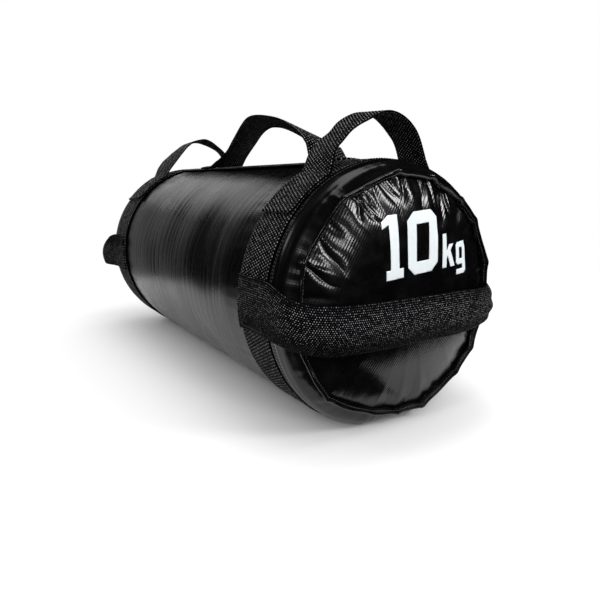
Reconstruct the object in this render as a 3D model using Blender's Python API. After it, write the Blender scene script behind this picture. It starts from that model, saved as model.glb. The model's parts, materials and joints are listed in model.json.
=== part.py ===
# Weighted training bag: a filled fabric tube, two webbing bands and five webbing handles.
# The bag lies along X with its marked end at +X, its handles up and its underside on the floor.
import math

import bmesh
import bpy
from mathutils import Matrix, Vector

# Driving sizes of the bag, in metres
TUBE_RADIUS = 0.110
RIM_TO_RIM = 0.490
RIM_DRAW_IN = 0.0095
COLLAR_LENGTH = 0.0265
PANEL_BULGE = 0.009
UNDERSIDE_PRESS = 0.004

# Fabric, webbing, foam and thread
FABRIC = 0.0010
COLLAR_FABRIC = 0.0012
WEBBING_WIDTH = 0.045
WEBBING = 0.0020
FOAM = 0.006
LINER = 0.0006
THREAD = 0.0005
THREAD_ROW = 0.0012
THREAD_INSET = 0.0040

# Seams
COLLAR_LAP = 0.0100
SHOULDER_TURN_DEG = 72.0
BINDING_DEPTH = 0.0052
BINDING_WIDTH = 0.0026
BINDING_EDGE = 0.0006
PANEL_GROOVE = 0.0055
TUBE_SEAM_WIDTH = 0.020
TUBE_SEAM_DEG = 132.0

# Filling
FOAM_DISC = 0.012
FOAM_TAPER_CLEARANCE = 0.0020
FILL_WALL = 0.0355
POUCH_DRAW_IN = 0.014
POUCH_END_ROUND = 0.016
MOUTH_HEM = 0.047
CLOSURE_LAP = 0.012
CLOSURE = 0.0012

# Handles over the bag, on each band
HANDLE_SPREAD = 0.1054
HANDLE_RISE = 0.0407
HANDLE_FOOT = 0.044

# Handle along the top of the bag
CENTRE_SPAN = 0.2256
CENTRE_OFFSET = 0.0255
CENTRE_RISE = 0.0502
CENTRE_FOOT = 0.0315

# Straps across the two ends
END_STRAP_REACH = 0.030
END_STRAP_CORNER = 0.046
END_STRAP_DROOP = 0.012
END_STRAP_FOOT = 0.024

# Clearances, and the height over its root at which a handle over the bag turns
SEAT_GAP = 0.0003
ROOT_GAP = 0.0009
HINGE_RISE = 0.0275

# Fineness of the round shapes
AROUND = 48
CORNER_STEPS = 8
PATH_STEPS = 26
DOME_STEPS = 4
SHOULDER_STEPS = 4

# Arch outlines, from root to root: shares of the half span and of the rise
FRONT_ARCH_SHARES = [
    (-1.00, 0.00), (-0.97, 0.16), (-0.87, 0.36), (-0.68, 0.56), (-0.48, 0.72), (-0.30, 0.88),
    (-0.08, 0.985), (0.14, 0.99), (0.42, 0.90), (0.66, 0.73), (0.84, 0.46), (0.96, 0.20), (1.00, 0.00)]
REAR_ARCH_SHARES = [
    (-1.00, 0.00), (-0.96, 0.18), (-0.84, 0.38), (-0.66, 0.56), (-0.44, 0.74), (-0.20, 0.90),
    (0.02, 0.985), (0.24, 0.99), (0.50, 0.87), (0.74, 0.68), (0.90, 0.44), (0.98, 0.20), (1.00, 0.00)]
CENTRE_ARCH_SHARES = [
    (-1.00, 0.00), (-0.88, 0.14), (-0.74, 0.30), (-0.55, 0.57), (-0.36, 0.84), (-0.18, 0.985),
    (0.06, 0.96), (0.33, 0.83), (0.58, 0.67), (0.82, 0.50), (0.95, 0.35), (0.995, 0.20), (1.00, 0.08),
    (1.00, 0.00)]

# Colours as linear red, green, blue, with roughness
FINISHES = {
    "coated_fabric": ((0.012, 0.012, 0.013), 0.28),
    "webbing": ((0.014, 0.014, 0.015), 0.72),
    "thread": ((0.022, 0.022, 0.024), 0.60),
    "foam": ((0.55, 0.56, 0.58), 0.90),
    "liner": ((0.62, 0.60, 0.54), 0.75),
    "hook_and_loop": ((0.03, 0.03, 0.03), 0.95),
    "textile_fill": ((0.30, 0.29, 0.30), 1.00),
    "sand_pouch": ((0.46, 0.38, 0.27), 0.85),
}

# Sizes worked out from the ones above
HALF_LENGTH = RIM_TO_RIM / 2
RIM_RADIUS = TUBE_RADIUS - RIM_DRAW_IN
FLAT_SHARE = 1 - UNDERSIDE_PRESS / TUBE_RADIUS
STEP = 2 * math.pi / AROUND
BAND_INNER = TUBE_RADIUS + SEAT_GAP
BAND_OUTER = BAND_INNER + WEBBING
FOOT_INNER = BAND_OUTER + SEAT_GAP
FOOT_OUTER = FOOT_INNER + WEBBING
STITCH_INNER = FOOT_OUTER + SEAT_GAP
STITCH_OUTER = STITCH_INNER + THREAD
AXIS_HEIGHT = BAND_OUTER * FLAT_SHARE
BAND_END = HALF_LENGTH - COLLAR_LENGTH
BAND_START = BAND_END - WEBBING_WIDTH
BAND_MIDDLE = (BAND_START + BAND_END) / 2
HALF_WEB = WEBBING_WIDTH / 2


def clear_scene():
    for item in list(bpy.data.objects):
        bpy.data.objects.remove(item, do_unlink=True)


def finish(name, kind):
    # One material for each sub-part, named after it
    colour, roughness = FINISHES[kind]
    material = bpy.data.materials.new(name + "_finish")
    material.use_nodes = True
    shader = material.node_tree.nodes["Principled BSDF"]
    shader.inputs["Base Color"].default_value = (*colour, 1.0)
    shader.inputs["Roughness"].default_value = roughness
    shader.inputs["Metallic"].default_value = 0.0
    return material


def place(name, kind, mesh_data, parent, pivot=(0.0, 0.0, 0.0)):
    # Points are measured from the bag's axis; a moving piece is stored about its pivot
    bmesh.ops.recalc_face_normals(mesh_data, faces=mesh_data.faces)
    bmesh.ops.translate(mesh_data, verts=mesh_data.verts, vec=-Vector(pivot))
    mesh = bpy.data.meshes.new(name)
    mesh_data.to_mesh(mesh)
    mesh_data.free()
    mesh.shade_smooth()
    mesh.set_sharp_from_angle(angle=math.radians(30))
    mesh.materials.append(finish(name, kind))
    piece = bpy.data.objects.new(name, mesh)
    bpy.context.collection.objects.link(piece)
    piece.parent = parent
    piece.location = pivot
    return piece


def facet_radius(radius, angle):
    # Distance to the flat facet that a round piece has at this angle
    offset = (angle % STEP) - STEP / 2
    return radius * math.cos(STEP / 2) / math.cos(offset)


def on_tube(x, radius, angle):
    # Angle runs from the top towards +Y
    reach = facet_radius(radius, angle)
    return Vector((x, reach * math.sin(angle), reach * math.cos(angle)))


def turned(name, kind, profile, parent, side=1):
    # Revolve a closed outline of (x, radius) points about the bag's axis, then press its underside flat
    ring = bmesh.new()
    verts = [ring.verts.new((side * x, 0.0, radius)) for x, radius in profile]
    edges = [ring.edges.new((verts[i], verts[(i + 1) % len(verts)])) for i in range(len(verts))]
    edges = [edge for edge in edges if max(vert.co.z for vert in edge.verts) > 0]
    bmesh.ops.spin(ring, geom=verts + edges, cent=(0, 0, 0), axis=(1, 0, 0), dvec=(0, 0, 0),
                   angle=2 * math.pi, steps=AROUND, use_merge=True, use_duplicate=False)
    bmesh.ops.remove_doubles(ring, verts=ring.verts, dist=SEAT_GAP / AROUND)
    for vert in ring.verts:
        radius = math.hypot(vert.co.y, vert.co.z)
        vert.co.z = max(vert.co.z, -radius * FLAT_SHARE)
    loose = [vert for vert in ring.verts if not vert.link_faces]
    bmesh.ops.delete(ring, geom=loose, context="VERTS")
    return place(name, kind, ring, parent)


def sheet_solid(name, kind, inner, outer, cells, parent, pivot=(0.0, 0.0, 0.0)):
    # Close a grid of inner and outer points into a solid, keeping only the cells named
    solid = bmesh.new()
    made = {}

    def vert(layer, row, column):
        key = (layer, row, column)
        if key not in made:
            made[key] = solid.verts.new((inner, outer)[layer][row][column])
        return made[key]

    borders = {}
    for row, column in cells:
        corners = [(row, column), (row, column + 1), (row + 1, column + 1), (row + 1, column)]
        solid.faces.new([vert(1, *corner) for corner in corners])
        solid.faces.new([vert(0, *corner) for corner in reversed(corners)])
        for start, end in zip(corners, corners[1:] + corners[:1]):
            if (end, start) in borders:
                del borders[(end, start)]
            else:
                borders[(start, end)] = True
    for start, end in borders:
        solid.faces.new([vert(1, *end), vert(1, *start), vert(0, *start), vert(0, *end)])
    return place(name, kind, solid, parent, pivot)


def all_cells(rows, columns):
    return [(row, column) for row in range(rows) for column in range(columns)]


def facet_angles(start, end):
    # The two ends and every facet corner between them
    first = math.floor(start / STEP) + 1
    corners = [index * STEP for index in range(first, first + AROUND) if index * STEP < end - STEP / AROUND]
    corners = [angle for angle in corners if angle > start + STEP / AROUND]
    return [start] + corners + [end]


def wrap_patch(name, kind, x_range, angle_range, radii, parent):
    # A strip of fabric or webbing that lies on the round of the bag
    angles = facet_angles(*angle_range)
    layers = [[[on_tube(x, radius, angle) for angle in angles] for x in x_range] for radius in radii]
    return sheet_solid(name, kind, layers[0], layers[1], all_cells(1, len(angles) - 1), parent)


def box_stitch(name, x_range, angle_range, parent):
    # A sewn box with a bar through its middle, lying on a foot
    inset = THREAD_INSET
    row = THREAD_ROW
    x_low, x_high = x_range[0] + inset, x_range[1] - inset
    x_mid = (x_low + x_high) / 2
    turn = inset / FOOT_OUTER
    turn_row = row / FOOT_OUTER
    low, high = angle_range[0] + turn, angle_range[1] - turn
    inside = facet_angles(low + turn_row, high - turn_row)
    angles = [low] + inside + [high]
    rows = [x_low, x_low + row, x_mid - row / 2, x_mid + row / 2, x_high - row, x_high]
    layers = [[[on_tube(x, radius, angle) for angle in angles] for x in rows]
              for radius in (STITCH_INNER, STITCH_OUTER)]
    last = len(angles) - 2
    cells = [cell for cell in all_cells(len(rows) - 1, last + 1) if cell[0] % 2 == 0 or cell[1] in (0, last)]
    return sheet_solid(name, "thread", layers[0], layers[1], cells, parent)


def foot_and_stitch(name, x_range, angle_range, parent):
    x_range = tuple(sorted(x_range))
    angle_range = tuple(sorted(angle_range))
    wrap_patch(name, "webbing", x_range, angle_range, (FOOT_INNER, FOOT_OUTER), parent)
    box_stitch(name + "_stitches", x_range, angle_range, parent)


def curve_through(points, steps):
    # Catmull-Rom curve through hand-placed points, sampled evenly along its length
    ends = [2 * points[0] - points[1]] + points + [2 * points[-1] - points[-2]]
    fine = []
    for index in range(1, len(ends) - 2):
        before, start, end, after = ends[index - 1:index + 3]
        for part in range(steps):
            t = part / steps
            fine.append(0.5 * (2 * start + (end - before) * t
                               + (2 * before - 5 * start + 4 * end - after) * t ** 2
                               + (3 * start - before - 3 * end + after) * t ** 3))
    fine.append(points[-1])
    lengths = [0.0]
    for start, end in zip(fine, fine[1:]):
        lengths.append(lengths[-1] + (end - start).length)
    evenly = []
    place_in = 0
    for index in range(steps + 1):
        wanted = lengths[-1] * index / steps
        while place_in < len(fine) - 2 and lengths[place_in + 1] < wanted:
            place_in += 1
        share = (wanted - lengths[place_in]) / (lengths[place_in + 1] - lengths[place_in])
        evenly.append(fine[place_in].lerp(fine[place_in + 1], share))
    return evenly


def arch_path(shares, half_span, base, peak, middle=0.0):
    points = [Vector((middle + across * half_span, base + up * (peak - base))) for across, up in shares]
    return curve_through(points, PATH_STEPS)


def end_strap_path():
    # Straight legs beside the collar, round corners, and a straight run across the end
    side = FOOT_INNER + WEBBING / 2
    front = HALF_LENGTH + END_STRAP_REACH - WEBBING / 2
    bend = Vector((side - END_STRAP_CORNER, front - END_STRAP_CORNER))
    quarter = [bend + END_STRAP_CORNER * Vector((math.cos(turn), math.sin(turn)))
               for turn in (math.pi / 2 * index / CORNER_STEPS for index in range(CORNER_STEPS + 1))]
    root = BAND_END - HALF_WEB + ROOT_GAP
    leg = [Vector((side, root + (bend.y - root) * index / CORNER_STEPS)) for index in range(CORNER_STEPS)]
    half = leg + quarter
    return [Vector((-point.x, point.y)) for point in half] + list(reversed(half))


def strap_loop(name, path, hinge, room, to_bag, droop, parent, pivot):
    # Webbing that follows a flat path; below the hinge its edges keep to a circle with room to turn
    tangents = []
    for index in range(len(path)):
        start = path[max(index - 1, 0)]
        end = path[min(index + 1, len(path) - 1)]
        tangents.append((end - start).normalized())
    front = max(point.y for point in path)
    layers = []
    for offset in (-WEBBING / 2, WEBBING / 2):
        rows = []
        for point, tangent in zip(path, tangents):
            spot = point + offset * Vector((-tangent.y, tangent.x))
            below = hinge - spot.y
            half = HALF_WEB
            if below > 0:
                half = min(math.sqrt(room(spot) ** 2 - below ** 2), HALF_WEB)
            sink = droop * max(spot.y - hinge, 0.0) / (front - hinge)
            rows.append([to_bag(spot, edge * half, sink) for edge in (-1, 1)])
        layers.append(rows)
    return sheet_solid(name, "webbing", layers[0], layers[1], all_cells(len(path) - 1, 1), parent, pivot)


def build_shell(parent):
    tube_end = BAND_END + COLLAR_LAP
    inner = TUBE_RADIUS - FABRIC
    turned("shell_tube", "coated_fabric",
           [(-tube_end, TUBE_RADIUS), (tube_end, TUBE_RADIUS), (tube_end, inner), (-tube_end, inner)], parent)
    seam = math.radians(TUBE_SEAM_DEG)
    half_turn = TUBE_SEAM_WIDTH / 2 / TUBE_RADIUS
    reach = BAND_START - SEAT_GAP
    wrap_patch("tube_seam_strip", "coated_fabric", (-reach, reach), (seam - half_turn, seam + half_turn),
               (BAND_INNER, BAND_INNER + FABRIC), parent)


def shoulder_points(wall):
    # The collar's round fall from the lap to the rim, drawn in by a wall along its own slope
    lap_end = BAND_END + COLLAR_LAP
    rim = HALF_LENGTH - BINDING_DEPTH - SEAT_GAP
    lap_radius = BAND_INNER + COLLAR_FABRIC
    last = math.radians(SHOULDER_TURN_DEG)
    long_axis = (rim - lap_end) / math.sin(last)
    short_axis = (lap_radius - RIM_RADIUS) / (1 - math.cos(last))
    points = []
    for index in range(SHOULDER_STEPS + 1):
        turn = last * index / SHOULDER_STEPS
        slope = Vector((math.sin(turn) / long_axis, math.cos(turn) / short_axis)).normalized()
        points.append((lap_end + long_axis * math.sin(turn) - wall * slope.x,
                       lap_radius - short_axis * (1 - math.cos(turn)) - wall * slope.y))
    return points


def panel_outline(shift):
    # Domed end panel from its edge to its middle: x falls with the cube of the radius
    edge_radius = RIM_RADIUS - BINDING_WIDTH - SEAT_GAP
    dome = PANEL_GROOVE + PANEL_BULGE
    top = HALF_LENGTH + PANEL_BULGE - shift
    radii = [edge_radius * math.sqrt(1 - (index / DOME_STEPS) ** 2) for index in range(DOME_STEPS + 1)]
    return [(top - dome * (radius / edge_radius) ** 3, radius) for radius in radii]


def build_end(end_name, side, parent):
    collar_start = BAND_END + SEAT_GAP
    lap_inner = BAND_INNER
    outer = shoulder_points(0.0)
    inner = shoulder_points(COLLAR_FABRIC)
    turned("collar_" + end_name, "coated_fabric",
           [(collar_start, lap_inner + COLLAR_FABRIC)] + outer + list(reversed(inner))
           + [(collar_start, lap_inner)], parent, side)
    base = HALF_LENGTH - BINDING_DEPTH
    low, high = RIM_RADIUS - BINDING_WIDTH, RIM_RADIUS
    edge = BINDING_EDGE
    turned("rim_binding_" + end_name, "coated_fabric",
           [(base, low), (base, high), (HALF_LENGTH - edge, high), (HALF_LENGTH, high - edge),
            (HALF_LENGTH, low + edge), (HALF_LENGTH - edge, low)], parent, side)
    turned("end_panel_" + end_name, "coated_fabric",
           panel_outline(0.0) + list(reversed(panel_outline(COLLAR_FABRIC))), parent, side)
    turned("band_" + end_name, "webbing",
           [(BAND_START, BAND_INNER), (BAND_START, BAND_OUTER), (BAND_END, BAND_OUTER), (BAND_END, BAND_INNER)],
           parent, side)


def build_filling(parent):
    disc_radius = TUBE_RADIUS - FABRIC - SEAT_GAP
    disc_start = BAND_END + COLLAR_LAP - FOAM_DISC
    taper = shoulder_points(COLLAR_FABRIC + FOAM_TAPER_CLEARANCE)[1:-1]
    dome = [point for point in panel_outline(COLLAR_FABRIC + SEAT_GAP) if point[1] < taper[-1][1]]
    for end_name, side in (("front", 1), ("rear", -1)):
        turned("foam_disc_" + end_name, "foam",
               [(disc_start, 0.0), (disc_start, disc_radius), (disc_start + FOAM_DISC, disc_radius)]
               + taper + dome[1:], parent, side)
    sleeve_end = disc_start - SEAT_GAP
    sleeve_inner = disc_radius - FOAM
    turned("foam_sleeve", "foam",
           [(-sleeve_end, disc_radius), (sleeve_end, disc_radius), (sleeve_end, sleeve_inner),
            (-sleeve_end, sleeve_inner)], parent)
    sack_outer = sleeve_inner - SEAT_GAP
    sack_inner = sack_outer - LINER
    closure_end = sleeve_end
    closure_start = closure_end - CLOSURE
    sack_front = closure_start - SEAT_GAP
    sack_back = sleeve_end
    mouth = sack_inner - MOUTH_HEM
    turned("liner_sack", "liner",
           [(-sack_back, 0.0), (-sack_back, sack_outer), (sack_front, sack_outer), (sack_front, mouth),
            (sack_front - LINER, mouth), (sack_front - LINER, sack_inner),
            (-sack_back + LINER, sack_inner), (-sack_back + LINER, 0.0)], parent)
    closure_radius = mouth + CLOSURE_LAP
    turned("liner_closure", "hook_and_loop",
           [(closure_start, 0.0), (closure_start, closure_radius), (closure_end, closure_radius),
            (closure_end, 0.0)], parent)
    fill_front = sack_front - LINER - SEAT_GAP
    fill_back = -sack_back + LINER + SEAT_GAP
    fill_outer = sack_inner - SEAT_GAP
    bore = fill_outer - FILL_WALL
    pouch_radius = bore - SEAT_GAP
    pouch_end = pouch_radius - POUCH_DRAW_IN
    turned("textile_fill", "textile_fill",
           [(fill_back, fill_outer), (fill_front, fill_outer), (fill_front, bore), (fill_back, bore)], parent)
    middle = (fill_front + fill_back) / 2
    pouches = (("sand_pouch_front", middle + SEAT_GAP / 2, fill_front),
               ("sand_pouch_rear", fill_back, middle - SEAT_GAP / 2))
    for name, low, high in pouches:
        turned(name, "sand_pouch",
               [(low, 0.0), (low, pouch_end), (low + POUCH_END_ROUND, pouch_radius),
                (high - POUCH_END_ROUND, pouch_radius), (high, pouch_end), (high, 0.0)], parent)


def across_handle(end_name, side, shares, parent):
    # Two sewn feet on the band and a loop that stands between them
    middle = side * BAND_MIDDLE
    foot_angle = math.asin(HANDLE_SPREAD / 2 / FOOT_INNER) + SEAT_GAP / FOOT_INNER
    foot_end = foot_angle + HANDLE_FOOT / FOOT_INNER
    x_range = (middle - HALF_WEB, middle + HALF_WEB)
    foot_and_stitch(end_name + "_handle_foot_left", x_range, (-foot_end, -foot_angle), parent)
    foot_and_stitch(end_name + "_handle_foot_right", x_range, (foot_angle, foot_end), parent)
    half_span = HANDLE_SPREAD / 2 - WEBBING / 2 - ROOT_GAP
    base = math.sqrt(BAND_OUTER ** 2 - (half_span - WEBBING / 2) ** 2) + ROOT_GAP
    hinge = base + HINGE_RISE
    path = arch_path(shares, half_span, base, TUBE_RADIUS + HANDLE_RISE - WEBBING / 2)

    def room(spot):
        # Down to the band under this point of the strap
        return hinge - math.sqrt(BAND_OUTER ** 2 - spot.x ** 2) - SEAT_GAP

    def to_bag(spot, edge, sink):
        return Vector((middle + edge, spot.x, spot.y))

    strap_loop(end_name + "_handle_loop", path, hinge, room, to_bag, 0.0, parent, (middle, 0.0, hinge))


def centre_handle(parent):
    reach = BAND_START - SEAT_GAP
    half_turn = HALF_WEB / BAND_OUTER
    wrap_patch("spine_strap", "webbing", (-reach, reach), (-half_turn, half_turn),
               (BAND_INNER, BAND_OUTER), parent)
    front_end = CENTRE_OFFSET + CENTRE_SPAN / 2
    rear_end = CENTRE_OFFSET - CENTRE_SPAN / 2
    foot_turn = HALF_WEB / FOOT_OUTER
    foot_and_stitch("centre_handle_foot_front", (front_end, front_end + CENTRE_FOOT),
                    (-foot_turn, foot_turn), parent)
    foot_and_stitch("centre_handle_foot_rear", (rear_end - CENTRE_FOOT, rear_end),
                    (-foot_turn, foot_turn), parent)
    half_span = CENTRE_SPAN / 2 - WEBBING / 2 - ROOT_GAP
    base = BAND_OUTER + WEBBING / 2 + ROOT_GAP
    hinge = base + HINGE_RISE
    peak = TUBE_RADIUS + CENTRE_RISE - WEBBING / 2
    path = arch_path(CENTRE_ARCH_SHARES, half_span, base, peak, CENTRE_OFFSET)

    def room(spot):
        return hinge - BAND_OUTER - SEAT_GAP

    def to_bag(spot, edge, sink):
        return Vector((spot.x, edge, spot.y))

    strap_loop("centre_handle_loop", path, hinge, room, to_bag, 0.0, parent, (CENTRE_OFFSET, 0.0, hinge))


def end_strap(end_name, side, parent):
    # Two sewn feet at the sides of the band and a loop that passes over the end panel
    hinge = BAND_END
    foot_front = hinge - HALF_WEB - SEAT_GAP
    x_range = (side * (foot_front - END_STRAP_FOOT), side * foot_front)
    half_turn = HALF_WEB / FOOT_OUTER
    for hand, middle in (("left", -math.pi / 2), ("right", math.pi / 2)):
        foot_and_stitch(end_name + "_strap_foot_" + hand, x_range,
                        (middle - half_turn, middle + half_turn), parent)

    def room(spot):
        return HALF_WEB

    def to_bag(spot, edge, sink):
        return Vector((side * spot.y, spot.x, edge - sink))

    strap_loop(end_name + "_strap_loop", end_strap_path(), hinge, room, to_bag, END_STRAP_DROOP, parent,
               (side * hinge, 0.0, 0.0))


def build():
    clear_scene()
    bag_axis = bpy.data.objects.new("bag_axis", None)
    bpy.context.collection.objects.link(bag_axis)
    bag_axis.matrix_world = Matrix.Translation((0.0, 0.0, AXIS_HEIGHT))
    build_shell(bag_axis)
    build_filling(bag_axis)
    for end_name, side, shares in (("front", 1, FRONT_ARCH_SHARES), ("rear", -1, REAR_ARCH_SHARES)):
        build_end(end_name, side, bag_axis)
        across_handle(end_name, side, shares, bag_axis)
        end_strap(end_name, side, bag_axis)
    centre_handle(bag_axis)


build()
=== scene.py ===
import json
import math

import bmesh
import bpy
import numpy as np
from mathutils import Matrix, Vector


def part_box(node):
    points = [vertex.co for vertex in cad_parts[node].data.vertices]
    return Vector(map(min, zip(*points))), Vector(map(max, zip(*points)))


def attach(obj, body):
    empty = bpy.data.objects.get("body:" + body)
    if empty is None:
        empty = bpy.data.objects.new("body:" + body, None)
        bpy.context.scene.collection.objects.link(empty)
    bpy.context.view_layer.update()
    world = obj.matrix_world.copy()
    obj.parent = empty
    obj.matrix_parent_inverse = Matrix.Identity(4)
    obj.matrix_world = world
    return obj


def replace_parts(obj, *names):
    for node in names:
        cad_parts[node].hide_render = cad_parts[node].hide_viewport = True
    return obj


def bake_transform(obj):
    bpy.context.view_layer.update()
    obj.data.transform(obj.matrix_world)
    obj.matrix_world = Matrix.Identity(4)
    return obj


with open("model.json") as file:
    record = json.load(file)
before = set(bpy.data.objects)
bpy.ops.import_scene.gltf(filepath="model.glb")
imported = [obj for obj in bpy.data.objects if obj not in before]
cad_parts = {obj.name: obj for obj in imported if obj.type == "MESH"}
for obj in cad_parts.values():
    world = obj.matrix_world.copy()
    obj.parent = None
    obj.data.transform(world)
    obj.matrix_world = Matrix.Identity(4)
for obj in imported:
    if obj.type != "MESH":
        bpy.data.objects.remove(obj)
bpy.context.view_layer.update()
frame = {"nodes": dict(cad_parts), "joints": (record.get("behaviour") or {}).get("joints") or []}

# Lengths are metres in the frame's own axes: +X runs along the bag to its marked end, +Z is up.
# A place on the bag is (x, radius, angle), and the angle runs from the top towards +Y.

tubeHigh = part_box("shell_tube")[1]
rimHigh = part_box("rim_binding_front")[1]
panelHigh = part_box("end_panel_front")[1]
bandLow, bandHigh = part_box("band_front")
tubeRadius = tubeHigh.y
axisHeight = tubeHigh.z - tubeRadius
bandRadius = bandHigh.y
rimRadius = rimHigh.y
rimEnd = rimHigh.x
flatShare = axisHeight / bandRadius    # the floor flattens each ring this far down, in its own radii
webWidth = bandHigh.x - bandLow.x

# Which way each end faces, and the seed of its gathers
ends = {"Front": (1, 11), "Rear": (-1, 47)}

# Where the ends' cloth is gathered most: knots at angles in degrees, from the top towards +Y
gathering = {
    "knots": [-133.9, -102.0, -68.7, -36.5, -4.6, 17.0, 38.2, 52.9, 76.7, 99.0, 121.8, 137.4, 163.4, 180.0],
    "fullness": 0.012,
    "straightness": 0.70,
    "knotRise": 0.0005,
    "knotWidth": 2.6,
}


def pointsAt(x, y, z):
    return np.stack(np.broadcast_arrays(x, y, z), axis=-1)


def onBag(x, reach, angle):
    # (x, radius, angle) to a point, with the underside pressed flat on the floor
    height = np.maximum(reach * np.cos(angle), -reach * flatShare)
    return pointsAt(x, reach * np.sin(angle), height + axisHeight)


def allRound(count):
    # Angles in even steps, once round the bag
    return np.linspace(-np.pi, np.pi, count, endpoint=False)


def turnOf(angle):
    return (angle / (2 * np.pi)) % 1.0


def unit(vectors):
    return vectors / np.maximum(np.linalg.norm(vectors, axis=-1, keepdims=True), 1e-12)


def between(span, share):
    return span[0] + (span[1] - span[0]) * share


def smoothStep(value, start, end):
    share = np.clip((value - start) / (end - start), 0, 1)
    return share * share * (3 - 2 * share)


def ripple(u, v, seed, count, uWaves, vWaves):
    # Sum of cosines in random directions, with whole waves round u (0 to 1) so that a ring joins up
    draw = np.random.RandomState(seed)
    total = np.zeros(np.broadcast(u, v).shape)
    for index in range(count):
        turns = draw.randint(uWaves[0], uWaves[1] + 1) * draw.choice([-1, 1])
        total += np.cos(2 * np.pi * (turns * u + draw.uniform(*vWaves) * v) + draw.uniform(0, 2 * np.pi))
    return total / math.sqrt(count / 2)


def newObject(name, data):
    made = bpy.data.objects.new(name, data)
    bpy.context.scene.collection.objects.link(made)
    return made


def addPiece(name, mesh, body):
    piece = newObject(name, mesh)
    if body:
        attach(piece, body)
    return piece


def gridPiece(name, points, material, uv, rowsJoin=False, body="bag"):
    # Quads over a grid of points (rows, columns, 3) whose columns join up. Rows join up too,
    # or the first and last row are closed with a fan. Faces are turned outwards by the signed volume.
    # uv is the cloth's map, with one more column than the points, and one more row where rows join.
    rows, columns = points.shape[:2]
    u, v = np.broadcast_arrays(*uv)
    row, column = np.meshgrid(np.arange(rows if rowsJoin else rows - 1), np.arange(columns), indexing="ij")
    corners = ((row, column), (row + 1, column), (row + 1, column + 1), (row, column + 1))
    quads = np.stack([r % rows * columns + c % columns for r, c in corners], axis=-1).reshape(-1, 4)
    quadUv = np.stack([np.stack([u[r, c], v[r, c]], axis=-1) for r, c in corners], axis=2).reshape(-1, 4, 2)
    verts = points.reshape(-1, 3)
    first, second, third, fourth = (verts[quads[:, k]] for k in range(4))
    volume = (first * (np.cross(second, third) + np.cross(third, fourth))).sum()
    if volume < 0:
        quads, quadUv = quads[:, ::-1], quadUv[:, ::-1]
    faces, sizes, uvs = [quads.reshape(-1)], [np.full(len(quads), 4)], [quadUv.reshape(-1, 2)]
    for end in () if rowsJoin else (0, 1):
        ring = np.arange(columns) + end * (rows - 1) * columns
        verts = np.vstack([verts, verts[ring].mean(axis=0)])
        fan = np.stack([np.roll(ring, -1), ring, np.full(columns, len(verts) - 1)], axis=-1)
        edge = np.stack([u[-end], v[-end]], axis=-1)
        middle = np.broadcast_to(edge[:-1].mean(axis=0), (columns, 2))
        fanUv = np.stack([edge[1:], edge[:-1], middle], axis=1)
        if (end == 0) != (volume < 0):
            fan, fanUv = fan[:, ::-1], fanUv[:, ::-1]
        faces.append(fan.reshape(-1))
        sizes.append(np.full(columns, 3))
        uvs.append(fanUv.reshape(-1, 2))
    faces, sizes, uvs = (np.concatenate(parts) for parts in (faces, sizes, uvs))
    return meshPiece(name, verts, faces, sizes, material, body, uvs)


def meshPiece(name, verts, corners, sizes, material, body="bag", uvs=None):
    # Whole arrays into a mesh: points, face corners, face sizes and the corners' places on the cloth
    mesh = bpy.data.meshes.new(name)
    mesh.vertices.add(len(verts))
    mesh.vertices.foreach_set("co", np.asarray(verts, np.float32).ravel())
    mesh.loops.add(len(corners))
    mesh.loops.foreach_set("vertex_index", np.asarray(corners, np.int32))
    mesh.polygons.add(len(sizes))
    starts = np.concatenate([[0], np.cumsum(sizes)[:-1]])
    mesh.polygons.foreach_set("loop_start", starts.astype(np.int32))
    mesh.polygons.foreach_set("loop_total", np.asarray(sizes, np.int32))
    mesh.update(calc_edges=True)
    mesh.validate()
    if uvs is not None:
        layer = mesh.uv_layers.new(name="cloth")
        layer.data.foreach_set("uv", np.asarray(uvs, np.float32).ravel())
    mesh.shade_smooth()
    mesh.materials.append(material)
    return addPiece(name, mesh, body)


# Materials


def newMaterial(name):
    material = bpy.data.materials.new(name)
    material.use_nodes = True
    return material, material.node_tree


def setInputs(tree, node, inputs):
    # Each input gets another node's output or a plain value
    for name, value in inputs.items():
        if isinstance(value, bpy.types.NodeSocket):
            tree.links.new(value, node.inputs[name])
        else:
            node.inputs[name].default_value = value


def shaded(material, inputs):
    tree = material.node_tree
    setInputs(tree, tree.nodes["Principled BSDF"], inputs)
    return material


def addNode(tree, kind, inputs=None, **settings):
    node = tree.nodes.new("ShaderNode" + kind)
    for name, value in settings.items():
        setattr(node, name, value)
    setInputs(tree, node, inputs or {})
    return node


def mathStep(tree, operation, *values):
    return addNode(tree, "Math", dict(enumerate(values)), operation=operation).outputs[0]


def clothPlace(tree):
    return addNode(tree, "UVMap", uv_map="cloth").outputs["UV"]


def objectPlace(tree):
    return addNode(tree, "TexCoord").outputs["Object"]


def axesOf(tree, place):
    return addNode(tree, "SeparateXYZ", {"Vector": place}).outputs


def noiseStep(tree, place, scale, detail=2.0, roughness=0.5):
    inputs = {"Vector": place, "Scale": scale, "Detail": detail, "Roughness": roughness}
    return addNode(tree, "TexNoise", inputs).outputs["Fac"]


def stretched(tree, place, scale=(1.0, 1.0, 1.0), turn=0.0):
    inputs = {"Vector": place, "Scale": scale, "Rotation": (0.0, 0.0, turn)}
    return addNode(tree, "Mapping", inputs).outputs["Vector"]


def rangeStep(tree, value, span, newSpan):
    inputs = {"Value": value, "From Min": span[0], "From Max": span[1],
              "To Min": newSpan[0], "To Max": newSpan[1]}
    return addNode(tree, "MapRange", inputs).outputs["Result"]


def blendColours(tree, share, first, second):
    return addNode(tree, "Mix", {"Factor": share, 6: first, 7: second}, data_type="RGBA").outputs[2]


def bumpStep(tree, height, strength, distance, **under):
    inputs = {"Height": height, "Strength": strength, "Distance": distance, **under}
    return addNode(tree, "Bump", inputs).outputs["Normal"]


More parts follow.
